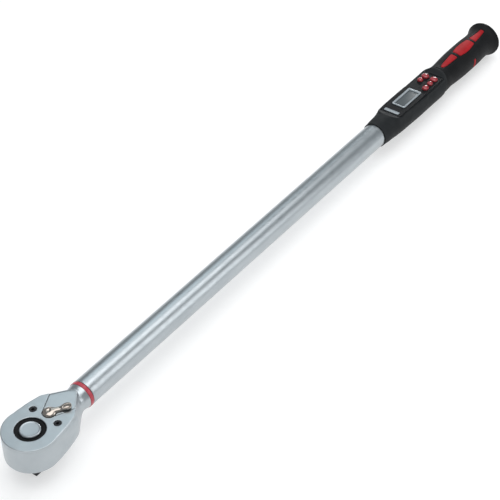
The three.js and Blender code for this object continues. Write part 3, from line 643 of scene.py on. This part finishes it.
def make_bezel():
    top = PANEL_TOP + 0.9
    levels = ((0, PANEL_TOP), (0.0, top - 0.35), (0.12, top - 0.1), (0.35, top), (LCD_BORDER - 1.1, top),
              (LCD_BORDER - 0.7, top - 0.1), (LCD_BORDER - 0.2, PANEL_TOP + 0.15), (LCD_BORDER, PANEL_TOP))
    rings = [lift(rounded_rectangle(LCD_START, LCD_END, LCD_HALF, 2.0, inset), z) for inset, z in levels]
    bezel = ring_solid("lcd_bezel_frame", rings)
    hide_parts("lcd_bezel")
    finish(bezel, "wrench_body", "silver_plastic")


def ring_solid(name, rings):
    """A closed skin over rings that run round an opening and back to the first."""
    rings = np.asarray(rings, float)
    count, around = rings.shape[:2]
    index = np.arange(count * around).reshape(count, around)
    along = np.roll(index, -1, axis=1)
    faces = np.stack([index, along, np.roll(along, -1, axis=0), np.roll(index, -1, axis=0)], -1)
    return make_object(name, rings.reshape(-1, 3), faces.reshape(-1, 4), 50)


def make_window():
    edge = LCD_BORDER + 0.15
    levels = ((0, PANEL_TOP - 1.4), (0, PANEL_TOP - 0.4), (0.1, PANEL_TOP - 0.25), (0.3, PANEL_TOP - 0.2))
    rings = [lift(rounded_rectangle(LCD_START + edge, LCD_END - edge, LCD_HALF - edge, 0.8, inset), z)
             for inset, z in levels]
    window = stack("lcd_window_pane", rings, 25)
    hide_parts("lcd_window")
    finish(window, "wrench_body", "display_glass")


def make_nameplate():
    low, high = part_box("nameplate")
    x0, x1, half = low.x / MM, high.x / MM, high.y / MM
    top = PANEL_TOP + 0.5
    sunk = top - 0.25
    levels = ((0, PANEL_TOP), (0, top - 0.15), (0.15, top), (0.55, top), (0.75, sunk), (1.0, sunk))
    rings = [lift(rounded_rectangle(x0, x1, half, 1.6, inset), z) for inset, z in levels]
    plate = stack("nameplate_blank", rings, 30)
    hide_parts("nameplate")
    finish(plate, "wrench_body", "silver_plastic")


def make_button(name, x, y, half_x, half_y, slant):
    """A domed key, a little squarer than an ellipse, with a flange under the panel."""
    angles = np.linspace(0, 2 * np.pi, 72, endpoint=False)
    circle = np.column_stack([np.cos(angles), np.sin(angles)])
    outline = np.sign(circle) * np.abs(circle) ** 0.8
    outline[:, 1] *= 1 + 0.12 * math.tan(math.radians(slant)) * outline[:, 0]
    outline = outline / np.abs(outline).max(0) * (half_x, half_y)
    floor = PANEL_TOP - PANEL_THICK
    levels = [(1.09, floor - 1), (1.09, floor - 0.2), (1, floor - 0.2), (1, PANEL_TOP + 0.3)]
    for angle in np.radians(np.linspace(6, 88, 14)):
        levels.append((math.cos(angle) ** 0.75, PANEL_TOP + 0.3 + (BUTTON_RISE - 0.3) * math.sin(angle)))
    rings = [lift(outline * scale + (x, y), z) for scale, z in levels]
    key = stack(f"{name}_cap", rings, 60)
    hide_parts(name)
    finish(key, f"{name}_key", "red_plastic")


# ---- grip -------------------------------------------------------------------------------------
grip_radius = curve([(790, 19.4), (808, 19.4), (816, 19.1), (824, 18.6), (840, 19.4), (856, 20.2),
                     (880, 20.4), (896, 20.2), (912, 19.5), (918, 19.6), (926, 21), (930, 22.6),
                     (933.4, FLANGE_R)])
INSERTS = (
    ("grip_insert_front", 820, 852, curve([(820, 5.4), (825, 9.2), (838, 13), (852, 15.2)])),
    ("grip_insert_middle", 857.6, 894.4, curve([(857.6, 18.2), (868, 23.2), (878, 24.2), (894.4, 18)])),
    ("grip_insert_rear", 899, 926, curve([(899, 15.8), (912, 12.6), (926, 8.2)])),
)
MARKS = (("grip_mark_right", math.radians(185)), ("grip_mark_left", math.radians(-5)))


def angle_from(y, z, centre):
    turned = np.arctan2(z, y) - centre
    return np.abs((turned + np.pi) % (2 * np.pi) - np.pi)


def patch(x, y, z, x0, x1, centre, half_degrees, corner):
    """Distance outside a patch of the grip's skin that reaches half_degrees(x) to each side."""
    radius = grip_radius(x)
    across = (angle_from(y, z, centre) - np.radians(half_degrees(x))) * radius
    along = np.abs(x - (x0 + x1) / 2) - (x1 - x0) / 2
    return soft_max(across * 0.97, along, corner)


def grip_field(x, y, z):
    r = np.hypot(y, z)
    radius = grip_radius(x)
    solid = soft_max((r - radius) * 0.93, x - GRIP_END, 1.6)
    rim_groove = np.hypot((x - 933.1) * 0.8, r - FLANGE_R + 0.2) - 0.75
    solid = soft_max(solid, -rim_groove, 0.3)
    depth = radius - 1.2 - r
    for _, x0, x1, half in INSERTS:
        pocket = soft_max(patch(x, y, z, x0, x1, INSERT_ANGLE, half, 1.5) - 0.3, depth, 0.4)
        solid = soft_max(solid, -pocket, 0.7)
    for _, centre in MARKS:
        pocket = soft_max(patch(x, y, z, 877.5, 882, centre, lambda v: 19 + 0 * v, 1.0) - 0.2, depth, 0.3)
        solid = soft_max(solid, -pocket, 0.5)
    solid = soft_max(solid, -parting(x, z) + 0.25, 1.2)
    return np.maximum(solid, SLEEVE_BORE_R - r)


def make_grip():
    grip = contour("grip_sleeve_moulding", grip_field, (792, -25.5, -25.5), (939.5, 25.5, 25.5), 0.7)
    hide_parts("grip_sleeve")
    finish(grip, "wrench_body", "black_rubber")
    for name, x0, x1, half in INSERTS:
        make_patch(name, x0, x1, INSERT_ANGLE, half, 1.5, 0.3, 0.4)
    for name, centre in MARKS:
        make_patch(name, 877.5, 882, centre, lambda v: 19 + 0 * v, 1.0, 0.08, 0.3)


def make_patch(name, x0, x1, centre, half, corner, proud, cell):
    def field(x, y, z):
        r = np.hypot(y, z)
        radius = grip_radius(x)
        side = patch(x, y, z, x0, x1, centre, half, corner)
        return soft_max(soft_max(side, r - radius - proud, 0.9), radius - 1.15 - r, 0.3)
    low, high = (np.array(corner_point) / MM for corner_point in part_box(name))
    margin = 1.2
    shift = np.array((0, 0, AXIS_Z))
    insert = contour(f"{name}_moulding", field, low - shift - margin, high - shift + margin, cell, 50)
    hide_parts(name)
    finish(insert, "wrench_body", "red_rubber")


# ---- battery cap ------------------------------------------------------------------------------
def cap_field(x, y, z):
    r = np.hypot(y, z)
    knob = soft_max(r - CAP_R, np.maximum(CAP_START - x, x - CAP_END), 1.2)
    plug = np.maximum(r - 13.2, np.maximum(922 - x, x - CAP_START - 1))
    solid = np.minimum(knob, plug)
    cup = np.maximum(r - 10.5, x - CAP_START + 1)
    groove = np.maximum(12.0 - r, np.abs(x - CAP_START + 1.6) - 1.0)
    slot = np.maximum(np.maximum(np.abs(y) - 1.3, np.abs(z) - 9), CAP_END - 2.2 - x)
    dish = np.maximum(r - 12.6, CAP_END - 0.4 - x)
    solid = soft_max(solid, -np.minimum(slot, dish), 0.4)
    return np.maximum(solid, -np.minimum(cup, groove))


def make_cap():
    cap = contour("battery_cap_moulding", cap_field, (920.5, -17, -17), (943.2, 17, 17), 0.4)
    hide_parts("battery_cap")
    finish(cap, "cap", "black_plastic")


# ---- materials --------------------------------------------------------------------------------
class Look:
    """A material's node tree, with short calls for the nodes used here."""

    def __init__(self, name, **settings):
        self.slot = name
        self.material = bpy.data.materials.new(f"{name}_finish")
        self.material.use_nodes = True
        self.tree = self.material.node_tree
        self.shader = self.tree.nodes["Principled BSDF"]
        settings.setdefault("Specular_IOR_Level", 0.3)
        for socket, value in settings.items():
            self.shader.inputs[socket.replace("_", " ")].default_value = value
        self.where = self.node("ShaderNodeTexCoord").outputs["Object"]

    def node(self, kind, **attributes):
        made = self.tree.nodes.new(kind)
        for key, value in attributes.items():
            setattr(made, key, value)
        return made

    def link(self, source, target):
        self.tree.links.new(source, target)

    def noise(self, scale, detail=3.0, stretch=(1, 1, 1), roughness=0.5):
        mapping = self.node("ShaderNodeMapping")
        mapping.inputs["Scale"].default_value = stretch
        self.link(self.where, mapping.inputs["Vector"])
        texture = self.node("ShaderNodeTexNoise")
        texture.inputs["Scale"].default_value = scale
        texture.inputs["Detail"].default_value = detail
        texture.inputs["Roughness"].default_value = roughness
        self.link(mapping.outputs["Vector"], texture.inputs["Vector"])
        return texture.outputs["Fac"]

    def cells(self, scale):
        texture = self.node("ShaderNodeTexVoronoi")
        texture.inputs["Scale"].default_value = scale
        self.link(self.where, texture.inputs["Vector"])
        return texture.outputs["Distance"]

    def between(self, source, low, high, start=0.3, end=0.7):
        """A number between low and high as source goes from start to end."""
        spread = self.node("ShaderNodeMapRange")
        for socket, value in (("From Min", start), ("From Max", end), ("To Min", low), ("To Max", high)):
            spread.inputs[socket].default_value = value
        self.link(source, spread.inputs["Value"])
        return spread.outputs["Result"]

    def colours(self, source, low, high, start=0.3, end=0.7):
        band = self.node("ShaderNodeValToRGB")
        band.color_ramp.elements[0].position = start
        band.color_ramp.elements[1].position = end
        band.color_ramp.elements[0].color = (*low, 1)
        band.color_ramp.elements[1].color = (*high, 1)
        self.link(source, band.inputs["Fac"])
        self.link(band.outputs["Color"], self.shader.inputs["Base Color"])
        return self

    def gloss(self, source, low, high):
        self.link(self.between(source, low, high), self.shader.inputs["Roughness"])
        return self

    def relief(self, *layers):
        """Bumps laid one on another: (height, strength, depth in metres) each."""
        normal = None
        for height, strength, depth in layers:
            bump = self.node("ShaderNodeBump")
            bump.inputs["Strength"].default_value = strength
            bump.inputs["Distance"].default_value = depth
            self.link(height, bump.inputs["Height"])
            if normal is not None:
                self.link(normal, bump.inputs["Normal"])
            normal = bump.outputs["Normal"]
        self.link(normal, self.shader.inputs["Normal"])
        return self


def satin_chrome():
    look = Look("satin_chrome", Metallic=1.0)
    cloud = look.noise(45, 4)
    draw = look.noise(900, 2, (0.02, 1, 1))
    look.colours(cloud, (0.415, 0.45, 0.472), (0.45, 0.484, 0.504))
    look.gloss(look.noise(160, 4), 0.28, 0.38)
    return look.relief((draw, 0.10, 0.00006), (look.noise(2200, 2), 0.10, 0.00005))


def polished_nickel():
    look = Look("polished_nickel", Metallic=1.0)
    look.colours(look.noise(120, 3), (0.41, 0.365, 0.325), (0.45, 0.405, 0.365))
    look.gloss(look.noise(500, 4), 0.08, 0.15)
    return look.relief((look.noise(900, 2), 0.04, 0.00002))


def black_steel():
    look = Look("black_steel", Metallic=0.8)
    look.colours(look.noise(250, 5), (0.028, 0.028, 0.031), (0.052, 0.051, 0.054))
    look.gloss(look.noise(500, 4), 0.34, 0.5)
    return look.relief((look.noise(1600, 3), 0.15, 0.00006))


def spring_steel():
    look = Look("spring_steel", Metallic=1.0)
    look.colours(look.noise(200, 3), (0.42, 0.43, 0.45), (0.55, 0.56, 0.58))
    look.gloss(look.noise(600, 3), 0.2, 0.34)
    return look.relief((look.noise(1500, 2, (0.1, 1, 1)), 0.1, 0.00004))


def black_plastic():
    look = Look("black_plastic", Specular_IOR_Level=0.08)
    look.colours(look.noise(70, 4), (0.016, 0.0178, 0.019), (0.023, 0.0252, 0.027))
    look.gloss(look.noise(900, 4), 0.5, 0.62)
    return look.relief((look.cells(1700), 0.16, 0.00012), (look.noise(3200, 3), 0.14, 0.00008))


def panel_plastic():
    look = Look("panel_plastic", Specular_IOR_Level=0.09)
    look.colours(look.noise(90, 4), (0.006, 0.0068, 0.0076), (0.010, 0.011, 0.0125))
    look.gloss(look.noise(1200, 4), 0.30, 0.42)
    return look.relief((look.noise(2600, 3), 0.12, 0.00008))


def rubber(name, dark, light, low_gloss=0.62, high_gloss=0.8):
    look = Look(name, Specular_IOR_Level=0.14)
    look.colours(look.noise(60, 5), dark, light)
    look.gloss(look.noise(700, 4), low_gloss, high_gloss)
    return look.relief((look.cells(2100), 0.14, 0.0001), (look.noise(4200, 2), 0.12, 0.00006))


def red_plastic():
    look = Look("red_plastic", Specular_IOR_Level=0.6, Coat_Weight=0.8, Coat_Roughness=0.16,
                Subsurface_Weight=0.1)
    look.shader.inputs["Subsurface Radius"].default_value = (0.003, 0.0008, 0.0006)
    look.colours(look.noise(180, 3), (0.30, 0.006, 0.014), (0.37, 0.009, 0.020))
    look.gloss(look.noise(900, 3), 0.22, 0.32)
    return look.relief((look.noise(1800, 2), 0.05, 0.00005))


def red_enamel():
    look = Look("red_enamel", Coat_Weight=0.35, Coat_Roughness=0.2)
    look.colours(look.noise(140, 4), (0.44, 0.035, 0.055), (0.52, 0.055, 0.08))
    look.gloss(look.noise(800, 3), 0.35, 0.48)
    return look.relief((look.noise(1500, 3), 0.1, 0.00005))


def silver_plastic():
    look = Look("silver_plastic", Metallic=0.35)
    look.colours(look.noise(1400, 3), (0.30, 0.335, 0.36), (0.37, 0.405, 0.43))
    look.gloss(look.noise(900, 3), 0.34, 0.44)
    return look.relief((look.noise(3000, 2), 0.1, 0.00004))


def display_glass():
    look = Look("display_glass", Coat_Weight=0.8, Coat_Roughness=0.04)
    look.colours(look.noise(30, 3), (0.055, 0.068, 0.076), (0.080, 0.097, 0.103))
    look.gloss(look.noise(2500, 2), 0.32, 0.4)
    return look.relief((look.noise(3000, 1), 0.03, 0.00003))


def board():
    look = Look("board")
    look.colours(look.cells(500), (0.01, 0.10, 0.04), (0.02, 0.16, 0.07))
    look.gloss(look.noise(900, 3), 0.35, 0.5)
    return look.relief((look.noise(1200, 3), 0.1, 0.00005))


def brass():
    look = Look("brass", Metallic=1.0)
    look.colours(look.noise(300, 4), (0.58, 0.42, 0.2), (0.68, 0.52, 0.27))
    look.gloss(look.noise(700, 3), 0.22, 0.36)
    return look.relief((look.noise(1500, 3), 0.1, 0.00005))


def cell_jacket():
    look = Look("cell_jacket", Metallic=0.4)
    look.colours(look.noise(220, 3), (0.2, 0.22, 0.25), (0.27, 0.29, 0.32))
    look.gloss(look.noise(800, 3), 0.25, 0.38)
    return look.relief((look.noise(1500, 2), 0.08, 0.00004))


LOOKS = {look.slot: look.material for look in (
    satin_chrome(), polished_nickel(), black_steel(), spring_steel(), black_plastic(), panel_plastic(),
    rubber("black_rubber", (0.0055, 0.006, 0.0065), (0.0095, 0.010, 0.011), 0.5, 0.66),
    rubber("red_rubber", (0.33, 0.009, 0.013), (0.40, 0.013, 0.018), 0.5, 0.64),
    red_plastic(), red_enamel(), silver_plastic(), display_glass(), board(), brass(), cell_jacket(),
)}


def finish(obj, body, slot):
    """Gives a new piece its body and the material for the record's slot."""
    obj.data.materials.append(LOOKS[slot])
    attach(obj, body)


def dress_cad_nodes():
    """The CAD pieces that stay in view inside the wrench get the same materials."""
    for entry in frame["record"]["subparts"]:
        obj = frame["nodes"][entry["node"]]
        if not obj.hide_render:
            obj.data.materials.clear()
            obj.data.materials.append(LOOKS[entry["material_slot"]])


# ---- studio -----------------------------------------------------------------------------------
def make_camera():
    """At the photograph's viewing angle: position and angles relative to the tube's axis over the drive."""
    yaw, pitch, roll = (math.radians(a) for a in (38.051, 40.662, -1.83))
    forward = Vector((math.cos(pitch) * math.cos(yaw), math.cos(pitch) * math.sin(yaw), -math.sin(pitch)))
    level = Vector((math.sin(yaw), -math.cos(yaw), 0))
    upright = level.cross(forward)
    right = level * math.cos(roll) + upright * math.sin(roll)
    up = upright * math.cos(roll) - level * math.sin(roll)
    position = Vector((-820.5, -946.8, AXIS_Z + 1312.8)) * MM
    data = bpy.data.cameras.new("camera")
    data.lens, data.sensor_width = 120.43, 36
    data.clip_start, data.clip_end = 0.05, 50
    camera = bpy.data.objects.new("camera", data)
    axes = Matrix((right, up, -forward)).transposed()
    camera.matrix_world = Matrix.Translation(position) @ axes.to_4x4()
    bpy.context.scene.collection.objects.link(camera)
    bpy.context.scene.camera = camera


def make_floor():
    """A pale floor that the wrench rests on with its drive and its flange."""
    drop = (AXIS_Z - FLANGE_R) * MM
    run = (GRIP_END - 3) * MM
    size = 6
    slope = drop / run
    corners = [(x, y, x * slope) for x, y in ((-size, -size), (size, -size), (size, size), (-size, size))]
    mesh = bpy.data.meshes.new("floor")
    mesh.from_pydata(corners, [], [(0, 1, 2, 3)])
    floor = bpy.data.objects.new("floor", mesh)
    look = Look("floor_paper", Roughness=0.9)
    look.colours(look.noise(2, 3), (0.54, 0.54, 0.54), (0.56, 0.56, 0.56))
    look.shader.inputs["Emission Color"].default_value = (1, 1, 1, 1)
    look.shader.inputs["Emission Strength"].default_value = 0.54
    mesh.materials.append(look.material)
    bpy.context.scene.collection.objects.link(floor)
    floor.location.z = -0.0006


def add_area(name, position, target, size, power, colour=(1, 1, 1)):
    data = bpy.data.lights.new(name, "AREA")
    data.shape = "RECTANGLE"
    data.size, data.size_y = size
    data.energy = power
    data.color = colour
    lamp = bpy.data.objects.new(name, data)
    lamp.location = position
    lamp.rotation_mode = "QUATERNION"
    lamp.rotation_quaternion = (Vector(target) - Vector(position)).to_track_quat("-Z", "Y")
    bpy.context.scene.collection.objects.link(lamp)


def make_lights():
    """Soft light from all round, with panels whose reflections model the chrome."""
    add_area("ceiling", (0.1, -0.2, 2.4), (0.1, -0.2, 0), (2.2, 2.2), 31)
    add_area("handle_glint", (2.5, 0.8, 0.62), (0.78, 0, 0.06), (0.4, 0.3), 9)
    add_area("panel_over_tube", (1.2, -0.1, 1.6), (0.25, 0, 0.04), (0.8, 0.75), 3.6)
    add_area("panel_near_side", (1.15, -1.4, 0.8), (0.2, 0, 0.04), (0.8, 1.05), 5)
    add_area("panel_far_side", (1.2, 0.95, 1.5), (0.05, 0, 0.05), (0.8, 0.9), 2.5, (0.82, 0.95, 1.0))
    world = bpy.data.worlds.new("studio")
    world.use_nodes = True
    background = world.node_tree.nodes["Background"]
    background.inputs["Color"].default_value = (0.90, 0.96, 1.0, 1)
    background.inputs["Strength"].default_value = 0.36
    bpy.context.scene.world = world
    bpy.context.scene.view_settings.view_transform = "Standard"


make_camera()
make_head()
make_drive()
make_lever()
make_tube()
make_housing()
make_panel()
make_grip()
make_cap()
dress_cad_nodes()
make_floor()
make_lights()
